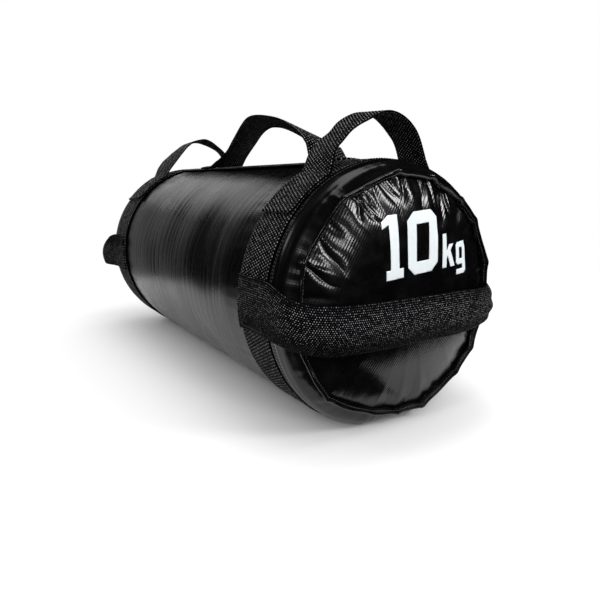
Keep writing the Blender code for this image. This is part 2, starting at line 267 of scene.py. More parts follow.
def strayed(tree, place, scale, reach):
    # A place moved by up to half of reach either way, so that a regular pattern looks hand-made
    noise = addNode(tree, "TexNoise", {"Vector": place, "Scale": scale, "Detail": 1.0}).outputs["Color"]
    inputs = {0: noise, 1: (reach, reach, 0.0), 2: (-reach / 2, -reach / 2, 0.0)}
    centred = addNode(tree, "VectorMath", inputs, operation="MULTIPLY_ADD").outputs["Vector"]
    return addNode(tree, "VectorMath", {0: place, 1: centred}).outputs["Vector"]


def waveOver(tree, value, pitch, phase=0.0):
    # 0 at a rib's edge and 1 at its middle: half of one minus the cosine
    turn = mathStep(tree, "MULTIPLY_ADD", value, 2 * math.pi / pitch, phase)
    return mathStep(tree, "MULTIPLY_ADD", mathStep(tree, "COSINE", turn), -0.5, 0.5)


# Coated cloth: its colour, its gloss, the scrim's ribs under the coating and the streaks along them
coatedCloth = {
    "colour": (0.0016, 0.0016, 0.0020, 1.0),
    "worn": (0.0052, 0.0052, 0.0057, 1.0),
    "wornFrom": (0.45, 0.75),
    "roughFrom": (0.70, 1.35),
    "patches": 21.0,
    "scuffHeight": 0.0012,
    "scrim": 0.0021,
    "scrimHeight": 0.0004,
    "weft": 0.10,
    "tube": {"streak": (5.0, 190.0, 1.0), "scrimTurn": 0.0, "scrimDepth": 0.09, "crinkle": 0.15,
             "roughness": (0.22, 0.34), "ior": 1.34},
    "collar": {"streak": (9.0, 130.0, 1.0), "scrimTurn": 0.0, "scrimDepth": 0.03, "crinkle": 0.20,
               "roughness": (0.16, 0.28), "ior": 1.42},
    "disc": {"streak": (60.0, 60.0, 1.0), "scrimTurn": math.radians(32), "scrimDepth": 0.11, "crinkle": 0.22,
             "roughness": (0.14, 0.25), "ior": 1.50},
    "rim": {"streak": (120.0, 120.0, 1.0), "scrimTurn": 0.0, "scrimDepth": 0.05, "crinkle": 0.30,
            "roughness": (0.12, 0.22), "ior": 1.50},
}


def makeCoated(name, finish):
    # The cloth's own map holds metres: round the bag and along it, or across and up on an end panel
    material, tree = newMaterial(name)
    place = clothPlace(tree)
    scuffs = noiseStep(tree, stretched(tree, place, finish["streak"]), 1.0, 4.0, 0.62)
    patches = noiseStep(tree, place, coatedCloth["patches"], 3.0)
    worn = rangeStep(tree, scuffs, coatedCloth["wornFrom"], (0.0, 1.0))
    rough = mathStep(tree, "ADD", scuffs, patches)
    turned = axesOf(tree, stretched(tree, place, turn=finish["scrimTurn"]))
    warp, weft = (waveOver(tree, turned[axis], coatedCloth["scrim"]) for axis in "XY")
    scrim = mathStep(tree, "MULTIPLY_ADD", weft, coatedCloth["weft"], warp)
    ribs = bumpStep(tree, scrim, finish["scrimDepth"], coatedCloth["scrimHeight"])
    return shaded(material, {
        "Base Color": blendColours(tree, worn, coatedCloth["colour"], coatedCloth["worn"]),
        "Roughness": rangeStep(tree, rough, coatedCloth["roughFrom"], finish["roughness"]),
        "Normal": bumpStep(tree, scuffs, finish["crinkle"], coatedCloth["scuffHeight"], Normal=ribs),
        "IOR": finish["ior"],
    })


# Webbing: rows of crossed ribs, whose crowns carry painted glints in their base colour
webbing = {
    # each weave also sets how much of the crowns' painted glints the painted shade at a strap's edges leaves
    "coarse": {"pitch": 0.0028, "columns": 16, "glintGain": 2.2, "glintFrom": 0.56, "edgeShade": 0.75, "glint": 1.0},
    "fine": {"pitch": 0.0017, "columns": 26, "glintGain": 3.4, "glintFrom": 0.62, "edgeShade": 0.20, "glint": 2.0},
    "thickness": 0.0020,
    "gap": 0.0003,    # between a strap and what it is sewn on
    "relief": 0.00032,
    "selvedge": 1.5,    # plain edge, in columns
    "selvedgeRise": 0.45,
    "edgeThin": 0.35,
    "nick": 0.012,
    "innerEvery": 8,    # a face that lies on cloth keeps one column in eight
    "stray": 0.42,
    "strayScale": 420.0,
    "patches": 90.0,
    "patchLift": (0.5, 1.2),
    "roughness": (0.45, 0.68),
    "fibres": (900.0, 5200.0, 1.0),
    "fibreShare": 0.4,
    "colour": (0.0014, 0.0014, 0.0017, 1.0),
    # the colour of the crowns' painted glints, a light colour standing in for the sheen of the weave
    "crown": (0.36, 0.36, 0.37, 1.0),
    "leastGlint": 0.20,
    "gloss": 0.02,
    "acrossShade": (0.08, 0.85),
    "shadeShift": 0.65,    # radians that move the least shaded line of the painted shade from the middle towards the first edge
}
webTop = (webbing["thickness"] + webbing["relief"]) / 2
spineReach = tubeRadius + webbing["thickness"] / 2
bandReach = tubeRadius + webbing["gap"] + webbing["thickness"] / 2
footReach = bandRadius + webbing["gap"] + webbing["thickness"] / 2


def makeWebbing(name, weave):
    # u is along the webbing and v across it, in metres. Neighbouring columns are half a rib apart,
    # and each crown has a painted glint of its own brightness in the base colour
    material, tree = newMaterial(name)
    place = clothPlace(tree)
    stray = webbing["stray"] * weave["pitch"]
    parts = axesOf(tree, strayed(tree, place, webbing["strayScale"], stray))
    along, across = parts["X"], parts["Y"]
    columnPitch = webWidth / weave["columns"]
    column = mathStep(tree, "FLOOR", mathStep(tree, "DIVIDE", across, columnPitch))
    half = mathStep(tree, "MULTIPLY", column, 0.5)
    row = mathStep(tree, "ADD", mathStep(tree, "DIVIDE", along, weave["pitch"]), half)
    turn = mathStep(tree, "MULTIPLY", row, 2 * math.pi)
    ribs = mathStep(tree, "MULTIPLY_ADD", mathStep(tree, "COSINE", turn), 0.5, 0.5)
    crown = mathStep(tree, "MULTIPLY", ribs, waveOver(tree, across, columnPitch))
    cell = addNode(tree, "CombineXYZ", {"X": mathStep(tree, "ROUND", row), "Y": column}).outputs["Vector"]
    chance = addNode(tree, "TexWhiteNoise", {"Vector": cell}, noise_dimensions="2D").outputs["Value"]
    glint = mathStep(tree, "POWER", chance, weave["glint"])
    least = webbing["leastGlint"] / weave["glint"] ** 2
    ownLight = mathStep(tree, "MULTIPLY_ADD", glint, 1.0 - least, least)
    patches = noiseStep(tree, place, webbing["patches"], 3.0, 0.6)
    lift = mathStep(tree, "MULTIPLY", ownLight, rangeStep(tree, patches, (0.3, 0.7), webbing["patchLift"]))
    # Painted shade across the strap: darker towards both edges, and most towards the second edge
    acrossShade = waveOver(tree, across, webWidth, webbing["shadeShift"])
    worn = rangeStep(tree, acrossShade, webbing["acrossShade"], (weave["edgeShade"], 1.0))
    lift = mathStep(tree, "MULTIPLY", lift, worn)
    # Painted glints: the crowns' base colour is lightened where light would catch them
    bright = rangeStep(tree, crown, (weave["glintFrom"], 0.92), (0.0, weave["glintGain"]))
    paintedGlints = mathStep(tree, "MINIMUM", mathStep(tree, "MULTIPLY", bright, lift), 1.0)
    fibres = noiseStep(tree, stretched(tree, place, webbing["fibres"]), 1.0)
    rise = mathStep(tree, "MULTIPLY_ADD", fibres, webbing["fibreShare"], crown)
    return shaded(material, {
        "Base Color": blendColours(tree, paintedGlints, webbing["colour"], webbing["crown"]),
        "Roughness": rangeStep(tree, patches, (0.3, 0.7), webbing["roughness"]),
        "Normal": bumpStep(tree, rise, 0.7, 0.0005),
        "Specular IOR Level": webbing["gloss"],
    })


def makeThread(name, dark, light):
    material, tree = newMaterial(name)
    twist = noiseStep(tree, objectPlace(tree), 1400.0)
    return shaded(material, {
        "Base Color": blendColours(tree, rangeStep(tree, twist, (0.35, 0.65), (0.0, 1.0)), dark, light),
        "Normal": bumpStep(tree, twist, 0.5, 0.0002),
        "Roughness": 0.42,
    })


# The marking's printed paint, a little worn, with the scrim's ribs showing through it as relief, and darker
# between them as painted shade
paint = {
    "colour": (0.80, 0.86, 0.88, 1.0),
    "worn": (0.56, 0.61, 0.63, 1.0),
    "slant": 0.62,
    "ribShade": -0.22,
    "wear": 160.0,
}


def makeMarking():
    material, tree = newMaterial("printedPaint")
    place = objectPlace(tree)
    parts = axesOf(tree, place)
    slanted = mathStep(tree, "MULTIPLY_ADD", parts["Z"], paint["slant"], parts["Y"])
    ribs = waveOver(tree, slanted, coatedCloth["scrim"])
    wear = rangeStep(tree, noiseStep(tree, place, paint["wear"], 5.0, 0.7), (0.35, 0.8), (0.0, 0.4))
    # painted shade between the ribs, added to the paint's real wear
    shade = mathStep(tree, "MULTIPLY_ADD", ribs, paint["ribShade"], wear)
    return shaded(material, {
        "Base Color": blendColours(tree, shade, paint["colour"], paint["worn"]),
        "Normal": bumpStep(tree, ribs, 0.2, 0.0003),
        "Roughness": 0.45,
    })


def makeInner(name, first, second, scale, roughness, depth):
    # The pieces inside the bag: two tones of one stuff, and its grain
    material, tree = newMaterial(name)
    grain = noiseStep(tree, objectPlace(tree), scale, 4.0, 0.65)
    return shaded(material, {
        "Base Color": blendColours(tree, grain, first, second),
        "Normal": bumpStep(tree, grain, 0.6, depth),
        "Roughness": roughness,
    })


tubeCloth, collarCloth, discCloth, rimCloth = (
    makeCoated(place + "Cloth", coatedCloth[place]) for place in ("tube", "collar", "disc", "rim"))
weaves = {weave: makeWebbing(weave + "Webbing", webbing[weave]) for weave in ("coarse", "fine")}
webbingThread = makeThread("webbingThread", (0.0030, 0.0030, 0.0034, 1.0), (0.020, 0.020, 0.021, 1.0))
clothThread = makeThread("clothThread", (0.008, 0.008, 0.009, 1.0), (0.085, 0.085, 0.09, 1.0))
marking = makeMarking()
print("materials made")


# The two ends: rim, collar and gathered end panel


def knotShape(degrees):
    # 1 at each knot, with e to the minus square of the distance beside it
    away = (degrees[..., None] - np.array(gathering["knots"]) + 180) % 360 - 180
    return np.exp(-(away / gathering["knotWidth"]) ** 2).sum(axis=-1)


def rimReach(angle):
    # The rim runs nearly straight from knot to knot, and each knot stands a little proud
    degrees = (np.degrees(angle) + 180) % 360 - 180
    knots = np.array(sorted(gathering["knots"]))
    edges = np.concatenate([[knots[-1] - 360], knots])
    index = np.clip(np.searchsorted(edges, degrees, side="right") - 1, 0, len(edges) - 2)
    start, end = edges[index], edges[index + 1]
    chord = np.cos(np.radians((end - start) / 2)) / np.cos(np.radians(degrees - (end + start) / 2))
    reach = rimRadius * (1 + gathering["fullness"] - gathering["straightness"] * (1 - chord))
    return reach + gathering["knotRise"] * knotShape(degrees)


# The end panel: how far it bulges past the rim, how it falls to the groove, and its creases.
# creasesAt goes with the knots: the cloth is gathered most at the left and along the top.
panel = {
    "bulge": panelHigh.x - rimEnd,
    "groove": 0.0055,
    "fall": 3.2,
    "tuck": 0.0032,
    "puff": 0.0012,
    "swell": 0.0006,
    "fine": 0.00006,
    "thickness": (0.0012, 0.0010),    # in the middle and at the rim
    "creasesAt": [2, 3, 4, 5, 5, 5, 4, 4, 3, 2, 3, 2, 3, 2],
    "spread": math.radians(15),
    "slant": 38,    # degrees
    "wander": 0.10,
    "depth": (0.0006, 0.0022),
    "width": (0.0012, 0.0036),
    "length": (0.15, 0.52),
    "opening": (0.75, 3.95),    # of a crease's width, at the rim and in the middle
    "sharpness": 0.012,
    "roll": (0.30, 2.4, 1.3),    # the ridge beside a crease: height, distance and width in the crease's own
    "calm": 0.62,
    "calmBelow": (-0.55, 0.10),
    "limit": 0.0022,
    "around": 864,
    "rings": 84,
    "backEvery": 14,
}


def creasesOf(seed):
    # Each crease: its angle at the rim, its slant, its length inwards, its depth and its width
    draw = np.random.RandomState(seed)
    knots = np.radians(np.repeat(gathering["knots"], panel["creasesAt"]))
    count = len(knots)
    crowd = np.repeat(panel["creasesAt"], panel["creasesAt"]) / max(panel["creasesAt"])
    spread = draw.uniform(-1, 1, count)
    base = knots + panel["spread"] * spread * np.abs(spread) ** 0.3
    slant = np.radians(draw.uniform(-panel["slant"], panel["slant"], count)) - 0.4 * panel["spread"] * spread
    length = between(panel["length"], draw.uniform(0, 1, count) * (0.35 + 0.65 * crowd))
    depth = between(panel["depth"], draw.uniform(0, 1, count) * crowd)
    width = between(panel["width"], draw.uniform(0, 1, count))
    low = 1 - smoothStep(np.cos(base), *panel["calmBelow"])    # 1 low down, where the cloth hangs smooth
    return base, slant, length, depth * (1 - panel["calm"] * low), width * (1 + low)


def panelFall(share):
    # x falls from the crown with a power of the radius
    return rimEnd + panel["bulge"] - (panel["bulge"] + panel["groove"]) * share ** panel["fall"]


def panelSurface(share, angle, seed):
    # Each crease is a sharp valley, one over e to the distance from its line, that opens and fades
    # inwards, with a low ridge on one side. Together they go no deeper than a limit.
    total = np.zeros(np.broadcast(share, angle).shape)
    inward = 1 - share
    ridgeHeight, ridgeAway, ridgeWidth = panel["roll"]
    for base, slant, length, depth, width in zip(*creasesOf(seed)):
        centre = base + slant * inward + panel["wander"] * inward * np.sin(18 * inward + 9 * base)
        away = ((angle - centre + np.pi) % (2 * np.pi) - np.pi) * share * rimRadius
        wide = width * between(panel["opening"], inward)
        window = depth * smoothStep(share, 1 - length, 1 - 0.3 * length)
        total += window * np.exp(-np.sqrt((away / wide) ** 2 + panel["sharpness"]))
        total -= ridgeHeight * window * np.exp(-((away - ridgeAway * wide) / (ridgeWidth * wide)) ** 2)
    height = panel["puff"] * smoothStep(share, 0.35, 0.8) - panel["limit"] * np.tanh(total / panel["limit"])
    fine = ripple(turnOf(angle), 0.25 * share, seed + 2, 16, (22, 64), (-3, 3))
    height += panel["fine"] * fine * smoothStep(share, 0.62, 0.95)
    y, z = share * np.sin(angle), share * np.cos(angle)
    swell = panel["swell"] * ripple(0.5 * y, 0.5 * z, seed + 8, 9, (1, 3), (-3, 3)) * (1 - share ** 6)
    return panelFall(share) + height + swell


def buildPanel(endName, side, seed):
    # The hidden face of the cloth follows the same fall without creases
    share = np.sin(np.linspace(0, 1, panel["rings"]) ** 0.9 * np.pi / 2)[1:, None]
    angle = allRound(panel["around"])[None, :]
    reach = rimReach(angle) - panel["tuck"]
    outer = onBag(side * panelSurface(share, angle, seed), share * reach, angle)
    back = share[::-panel["backEvery"]]
    inner = onBag(side * (panelFall(back) - between(panel["thickness"], back)), back * reach, angle)
    points = np.concatenate([outer, inner])
    wrapped = np.concatenate([points, points[:, :1]], axis=1)
    return gridPiece("endPanel" + endName, points, discCloth,
                     (wrapped[..., 1], wrapped[..., 2]))


# The rim: the two cloths' edges sewn into a flat flange that leans outwards and forwards
rim = {
    "halfWidth": 0.0030,
    "halfThickness": 0.00135,
    "roundness": 0.7,
    "girth": 0.016,
    "lean": math.radians(52),
    "centreBack": 0.0019,
    "centreIn": 0.0012,
    "around": 900,
    "sides": 20,
    "uneven": {    # step of the seed, cosines, their waves round the rim, how much, how much more at a knot
        "lean": (1, 10, (4, 16), 0.09, -0.22),
        "wide": (2, 10, (6, 24), 0.05, 0.08),
        "thick": (3, 10, (12, 60), 0.05, 0.22),
        "x": (4, 8, (6, 24), 0.0003, 0.0002),
        "reach": (6, 9, (5, 19), 0.00022, 0.0),
    },
}


def rimLine(angle, seed):
    # Where the flange's middle runs, how far it leans and how wide it is at each angle
    more = {}
    for part, (step, count, waves, size, atKnot) in rim["uneven"].items():
        waver = ripple(turnOf(angle), 0, seed + step, count, waves, (0, 1))
        more[part] = size * waver + atKnot * knotShape(np.degrees(angle))
    x = rimEnd - rim["centreBack"] + more["x"]
    reach = rimReach(angle) - rim["centreIn"] + more["reach"]
    return x, reach, rim["lean"] + more["lean"], 1 + more["wide"], 1 + more["thick"]


def buildRim(endName, side, seed):
    # Cross-section: a flat superellipse, the two powers of whose distances add up to one
    across = np.linspace(0, 2 * np.pi, rim["sides"], endpoint=False)[None, :]
    angle = allRound(rim["around"])[:, None]
    x, reach, lean, wide, thick = rimLine(angle, seed)
    along, over = (np.sign(part) * np.abs(part) ** rim["roundness"]
                   for part in (np.cos(across), np.sin(across)))
    along = rim["halfWidth"] * wide * along
    over = rim["halfThickness"] * thick * over
    ridge = x + along * np.cos(lean) + over * np.sin(lean)
    outward = reach + along * np.sin(lean) - over * np.cos(lean)
    uRows = np.linspace(-np.pi, np.pi, rim["around"] + 1)[:, None] * rimRadius
    vColumns = np.linspace(0, rim["girth"], rim["sides"] + 1)[None, :]
    return gridPiece("rimFold" + endName, onBag(side * ridge, outward, angle), rimCloth,
                     (uRows, vColumns), rowsJoin=True)


# The collar: flat on the tube at its lap, then drawn in to the rim by a power of the way along.
# It stays round until it tucks in behind the rim's straight runs.
collar = {
    "lapGap": 0.0004,
    "lapRise": 0.0013,
    "lapTuck": 0.0006,
    "rimGap": 0.0002,
    "bendFrom": bandHigh.x + 0.0055,
    "bendPower": 2.3,
    "tuckShare": (0.45, 1.0),
    "roundRise": 0.0010,
    "folds": 0.00036,
    "gathers": 0.00014,
    "cloth": 0.0008,
    "slack": 1.2,    # the bent cloth's length over the way along the bag
    "around": 480,
    "flatSteps": 8,
    "steps": 46,
}


def buildCollar(endName, side, seed):
    angle = allRound(collar["around"])[None, :]
    lapStart = bandHigh.x + collar["lapGap"]
    lapReach = tubeRadius + collar["lapRise"]
    rimX = rimEnd - rim["centreBack"] - collar["rimGap"]
    flat = np.linspace(lapStart, collar["bendFrom"], collar["flatSteps"])[:, None]
    part = np.linspace(0, 1, collar["steps"])[1:, None]
    x = np.concatenate([flat, between((collar["bendFrom"], rimX), part)])
    drop = np.concatenate([0 * flat, part ** collar["bendPower"]])
    tucked = np.concatenate([0 * flat, smoothStep(part, *collar["tuckShare"])])
    rimHere = rimReach(angle)
    roundReach = rimHere.mean() + collar["roundRise"]
    reach = between((lapReach, between((roundReach, rimHere), tucked) - collar["rimGap"]), drop)
    share = (x - lapStart) / (rimX - lapStart)
    folds = ripple(turnOf(angle), share, seed + 4, 14, (1, 3), (1.2, 3.4))
    gathers = ripple(turnOf(angle), 0.3 * share, seed + 5, 12, (30, 95), (-1, 1))
    reach = reach + collar["folds"] * folds * np.sin(np.pi * np.clip(share, 0, 1)) ** 0.8
    reach = reach + collar["gathers"] * gathers * smoothStep(share, 0.50, 0.97)
    reach[0] -= collar["lapTuck"]
    outer = onBag(side * x, reach, angle)
    inner = onBag(side * x[::-1], (reach - collar["cloth"])[::-1], angle)
    uColumns = np.linspace(0, 2 * np.pi * tubeRadius, collar["around"] + 1)[None, :]
    vRows = np.concatenate([share, share[::-1], share[:1]]) * (rimX - lapStart) * collar["slack"]
    return gridPiece("collar" + endName, np.concatenate([outer, inner]), collarCloth,
                     (uColumns, vRows), rowsJoin=True)


for endName, (side, seed) in ends.items():
    endPanel = buildPanel(endName, side, seed)
    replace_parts(endPanel, "end_panel_" + endName.lower())
    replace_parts(buildRim(endName, side, seed), "rim_binding_" + endName.lower())
    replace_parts(buildCollar(endName, side, seed), "collar_" + endName.lower())
print("ends made")


# The tube: a full body that sinks a little along its top and swells at its flanks
tube = {
    "steps": 230,
    "around": 300,
    "fade": 0.22,
    "sink": 0.0010,
    "swell": 0.0015,
    "streaks": 0.00005,
    "dents": 0.00030,
    "deepest": 0.0006,
    "pulls": 0.00012,
    "pullsFrom": (0.76, 0.92),    # of the way from the middle to a band
    "pullsTo": (0.955, 0.995),
    "wall": 0.00125,
    "seamAngle": math.radians(132),
    "seamWidth": 0.020,
    "seamThickness": 0.0009,
    "seamLift": (0.00012, 0.00002),    # of the strip's outer and inner face
    "seamSteps": 140,
}


def tubeReach(x, angle):
    # The radius less a hollow along the top, plus a fuller belly, streaks and dents. All of it
    # fades towards the bands, which hold the cloth round and pull small gathers into it.
    turn, length = turnOf(angle), x / bandLow.x
    share = np.clip(np.abs(length), 0, 1)
    free = smoothStep(1 - share, 0.0, tube["fade"])
    sink = tube["sink"] * np.clip(np.cos(angle), 0, 1) ** 2 * free
    swell = tube["swell"] * np.clip(0.5 - 0.6 * np.cos(angle - 0.15), 0, 1) * free
    streaks = tube["streaks"] * ripple(turn, length, 21, 26, (0, 3), (9, 26)) * (0.35 + 0.65 * free)
    dents = tube["dents"] * ripple(turn, length, 22, 10, (1, 4), (0.4, 2.4)) * free
    held = smoothStep(share, *tube["pullsFrom"]) * (1 - smoothStep(share, *tube["pullsTo"]))
    pulls = tube["pulls"] * ripple(turn, 0.6 * length, 23, 14, (24, 76), (-2, 2)) * held
    return tubeRadius - sink + swell + np.maximum(streaks + dents, -tube["deepest"]) + pulls


def buildTube():
    x = np.linspace(-tubeHigh.x, tubeHigh.x, tube["steps"])[:, None]
    angle = allRound(tube["around"])[None, :]
    outer = onBag(x, tubeReach(x, angle), angle)
    back = np.array([tubeHigh.x, 0, -tubeHigh.x])[:, None]
    inner = onBag(back, tubeRadius - tube["wall"], angle)
    uColumns = np.linspace(0, 2 * np.pi * tubeRadius, tube["around"] + 1)[None, :]
    vRows = np.concatenate([x, back, x[:1]])
    return gridPiece("tubeSkin", np.concatenate([outer, inner]), tubeCloth,
                     (uColumns, vRows), rowsJoin=True)


def buildSeamStrip():
    # A strip of the same cloth over the tube's lengthwise seam, full in the middle and thin at its edges
    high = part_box("tube_seam_strip")[1]
    x = np.linspace(-high.x, high.x, tube["seamSteps"])[:, None]
    share = np.linspace(-1, 1, 15)
    half = tube["seamWidth"] / 2 / tubeRadius
    angle = tube["seamAngle"] + half * np.concatenate([share, share[::-1]])[None, :]
    outerLift, innerLift = tube["seamLift"]
    rise = tube["seamThickness"] * np.sqrt(np.maximum(1 - share ** 6, 0.0)) + outerLift
    rise = np.concatenate([rise, 0 * share + innerLift])
    points = onBag(x, tubeReach(x, angle) + rise, angle)
    uColumns = np.append(angle, angle[0, 0])[None, :] * tubeRadius
    return gridPiece("seamStrip", points, collarCloth, (uColumns, x))


tubeSkin = buildTube()
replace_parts(tubeSkin, "shell_tube")
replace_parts(buildSeamStrip(), "tube_seam_strip")
print("tube made")


# Webbing straps


def bowed(height):
    # A strap's bend: highest in its middle, less by the square of the place across it
    return lambda share: height * (1 - share ** 2)


def strapPiece(name, left, right, weave, bend=bowed(0.0), body=None, joined=False, innerRelief=True):
    # The webbing is a ruled sheet between two edges (rows, 3), bent outwards by a function of the place
    # across it, and made solid. Its crossed ribs rise on both faces: half of one plus the cosine of the
    # length, half a rib apart in every other column. Rows are half a rib apart.
    rows, columns = np.arange(len(left))[:, None], webbing[weave]["columns"]
    across = right - left
    middle = (left + right) / 2
    if joined:
        tangent = np.roll(middle, -1, axis=0) - np.roll(middle, 1, axis=0)
    else:
        tangent = np.gradient(middle, axis=0)
    normal = unit(np.cross(across, tangent))[:, None, :]
    place = np.arange(2 * columns + 1)
    share = place / columns - 1
    ribs = (0.5 + 0.5 * np.cos(np.pi * (rows + place // 2))) * (place % 2)
    ribs = np.where(np.abs(share) > 1 - webbing["selvedge"] / columns, webbing["selvedgeRise"], ribs)
    outermost = np.abs(share) == 1
    thin = np.where(outermost, webbing["edgeThin"], 1.0)
    spread = np.where(outermost, (1 - webbing["nick"] * (rows % 2)) * share, share)
    base = middle[:, None, :] + across[:, None, :] / 2 * spread[..., None] + normal * bend(share)[..., None]
    half = webbing["thickness"] / 2
    relief = webbing["relief"] * (ribs - 0.5)
    top = base + normal * ((half + relief) * thin)[..., None]
    bottom = base - normal * ((half + relief * innerRelief) * thin)[..., None]
    back = (place if innerRelief else place[::webbing["innerEvery"]])[::-1]
    points = np.concatenate([top, bottom[:, back]], axis=1)
    points[..., 2] = np.maximum(points[..., 2], 0.0)
    uRows = np.arange(len(left) + (1 if joined else 0))[:, None] * webbing[weave]["pitch"] / 2
    width = webWidth * (share + 1) / 2
    vColumns = np.concatenate([width, width[back], width[:1]])[None, :]
    return gridPiece(name, points, weaves[weave], (uRows, vColumns), joined, body)


def rowsOf(length, weave):
    # Rows that a strap of this length needs: two for each rib, and one to end on
    return 2 * int(round(length / webbing[weave]["pitch"])) + 1


def wayAlong(path):
    return np.concatenate([[0], np.cumsum(np.linalg.norm(np.diff(path, axis=0), axis=1))])


def evenly(path, count):
    # The same path in this many points, evenly spaced
    way = wayAlong(path)
    wanted = np.linspace(0, way[-1], count)
    return np.stack([np.interp(wanted, way, column) for column in path.T], axis=-1)


def smoothPath(points, count):
    # Catmull-Rom curve through given points
    points = np.asarray(points, float)
    controls = np.vstack([2 * points[0] - points[1], points, 2 * points[-1] - points[-2]])
    share = np.linspace(0, 1, 24, endpoint=False)[:, None]
    before, start, end, after = (controls[k:len(controls) - 3 + k, None, :] for k in range(4))
    curve = 0.5 * (2 * start + (end - before) * share
                   + (2 * before - 5 * start + 4 * end - after) * share ** 2
                   + (3 * start - before - 3 * end + after) * share ** 3)
    return evenly(np.vstack([curve.reshape(-1, 3), points[-1]]), count)


def smoothEdges(paths):
    # A strap's two edges, each in as many rows as their mean length needs
    count = rowsOf(sum(wayAlong(path)[-1] for path in paths) / 2, "coarse")
    return [smoothPath(path, count) for path in paths]


def withFeet(path, feet):
    # Both feet run from their free end to the root, where the path gives up three points to the bend
    whole = np.vstack([feet[0], path[3:-3], feet[1][::-1]])
    whole[:, 2] += axisHeight
    return whole


def hingeOf(strap):
    return next(joint["pos_m"] for joint in frame["joints"] if joint["name"] == strap + "_swing")


def hangLoop(piece, strap, hands):
    # One piece stands for the CAD's loop, its two feet and their stitches
    feet = [strap + "_foot_" + hand + more for hand in hands for more in ("", "_stitches")]
    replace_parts(piece, strap + "_loop", *feet)
    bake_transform(piece)


def buildBand(endName, side):
    angle = allRound(rowsOf(2 * math.pi * bandRadius, "coarse") - 1)
    edges = [onBag(side * x, bandReach, angle) for x in (bandLow.x, bandHigh.x)]
    piece = strapPiece("band" + endName, *edges[::side], "coarse", body="bag", joined=True, innerRelief=False)
    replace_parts(piece, "band_" + endName.lower())


for endName, (side, seed) in ends.items():
    buildBand(endName, side)
print("bands made")

# Handles over the bag. Each edge is (across the bag, up from its axis) in radii of the tube,
# from the left root to the right one, as the webbing stands in the photograph.
handles = {
    "footTurn": {"backEdge": 0.053 / bandRadius, "frontEdge": 0.049 / bandRadius},
    "footMore": 0.006 / bandRadius,    # how far the webbing's foot reaches past the CAD's
    "footRows": 14,
    "rootTurn": 0.035,    # radians left for the bend between a foot and its leg
    "hemRise": 0.0012,    # how far a foot's free end stands off the band
    "hemRows": 1.6,    # and over how many of its rows
    "pathPoints": 60,
    "Front": {
        "x": (bandLow.x, bandHigh.x),
        "backEdge": [(-0.446, 0.960), (-0.430, 1.005), (-0.398, 1.062), (-0.316, 1.150), (-0.224, 1.215),
                     (-0.150, 1.290), (-0.065, 1.340), (0.020, 1.372), (0.110, 1.380), (0.205, 1.358),
                     (0.290, 1.305), (0.370, 1.235), (0.423, 1.180), (0.465, 1.105), (0.500, 1.000),
                     (0.505, 0.940)],
        "frontEdge": [(-0.470, 0.950), (-0.462, 1.010), (-0.440, 1.075), (-0.381, 1.135), (-0.313, 1.203),
                      (-0.240, 1.248), (-0.160, 1.285), (-0.070, 1.325), (0.020, 1.350), (0.110, 1.343),
                      (0.200, 1.308), (0.280, 1.248), (0.333, 1.178), (0.375, 1.090), (0.410, 1.010),
                      (0.440, 0.955)],
    },
    "Rear": {
        "x": (-bandHigh.x, -bandLow.x),
        "backEdge": [(-0.450, 0.950), (-0.437, 1.000), (-0.405, 1.050), (-0.354, 1.112), (-0.290, 1.165),
                     (-0.230, 1.215), (-0.165, 1.262), (-0.090, 1.315), (0.000, 1.350), (0.110, 1.368),
                     (0.220, 1.345), (0.330, 1.305), (0.420, 1.250), (0.480, 1.165), (0.510, 1.050),
                     (0.490, 0.950)],
        "frontEdge": [(-0.440, 0.950), (-0.418, 0.985), (-0.385, 1.030), (-0.338, 1.085), (-0.285, 1.150),
                      (-0.225, 1.220), (-0.160, 1.290), (-0.080, 1.345), (0.010, 1.372), (0.085, 1.378),
                      (0.160, 1.350), (0.240, 1.295), (0.310, 1.240), (0.380, 1.160), (0.430, 1.060),
                      (0.470, 0.955)],
    },
}


def handlePath(edge, x, footTurn):
    # A foot wrapped on the band, up the leg, over the arch and down to the other foot
    path = smoothPath([(x, y * tubeRadius, z * tubeRadius) for y, z in edge], handles["pathPoints"])
    rows = handles["footRows"]
    reach = footReach + handles["hemRise"] * (1 - smoothStep(np.arange(rows), 0, handles["hemRows"]))
    feet = []
    for hand, root in ((-1, path[0]), (1, path[-1])):
        turn = math.atan2(root[1], root[2]) + hand * np.linspace(footTurn, handles["rootTurn"], rows)
        feet.append(pointsAt(x, reach * np.sin(turn), reach * np.cos(turn)))
    return withFeet(path, feet)


def buildHandle(endName):
    shape, strap = handles[endName], endName.lower() + "_handle"
    edges = smoothEdges([handlePath(shape[edge], x, handles["footTurn"][edge])
                         for edge, x in zip(("backEdge", "frontEdge"), shape["x"])])
    piece = strapPiece("handle" + endName, *edges, "coarse")
    hangLoop(piece, strap, ("left", "right"))


for endName in ends:
    buildHandle(endName)
print("handles made")

# The handle along the top. Each edge is (along from the front rim, up from the axis) in radii.
centreHandle = {
    "foot": 0.0315,
    "footRows": 10,
    "rootGap": 0.004,    # left for the bend between a foot and its leg
    "bow": 0.0022,
    "nearSide": [(-3.020, 1.040), (-2.900, 1.060), (-2.730, 1.105), (-2.560, 1.175), (-2.430, 1.262),
                 (-2.320, 1.335), (-2.220, 1.400), (-2.120, 1.450), (-2.000, 1.472), (-1.790, 1.458),
                 (-1.490, 1.405), (-1.250, 1.320), (-1.090, 1.235), (-1.000, 1.150), (-0.975, 1.085),
                 (-0.985, 1.040)],
    "farSide": [(-3.020, 1.040), (-2.985, 1.075), (-2.880, 1.150), (-2.690, 1.262), (-2.500, 1.368),
                (-2.320, 1.412), (-2.150, 1.402), (-1.990, 1.370), (-1.830, 1.322), (-1.690, 1.272),
                (-1.540, 1.225), (-1.360, 1.190), (-1.200, 1.165), (-1.080, 1.135), (-1.010, 1.085),
                (-0.990, 1.040)],
}


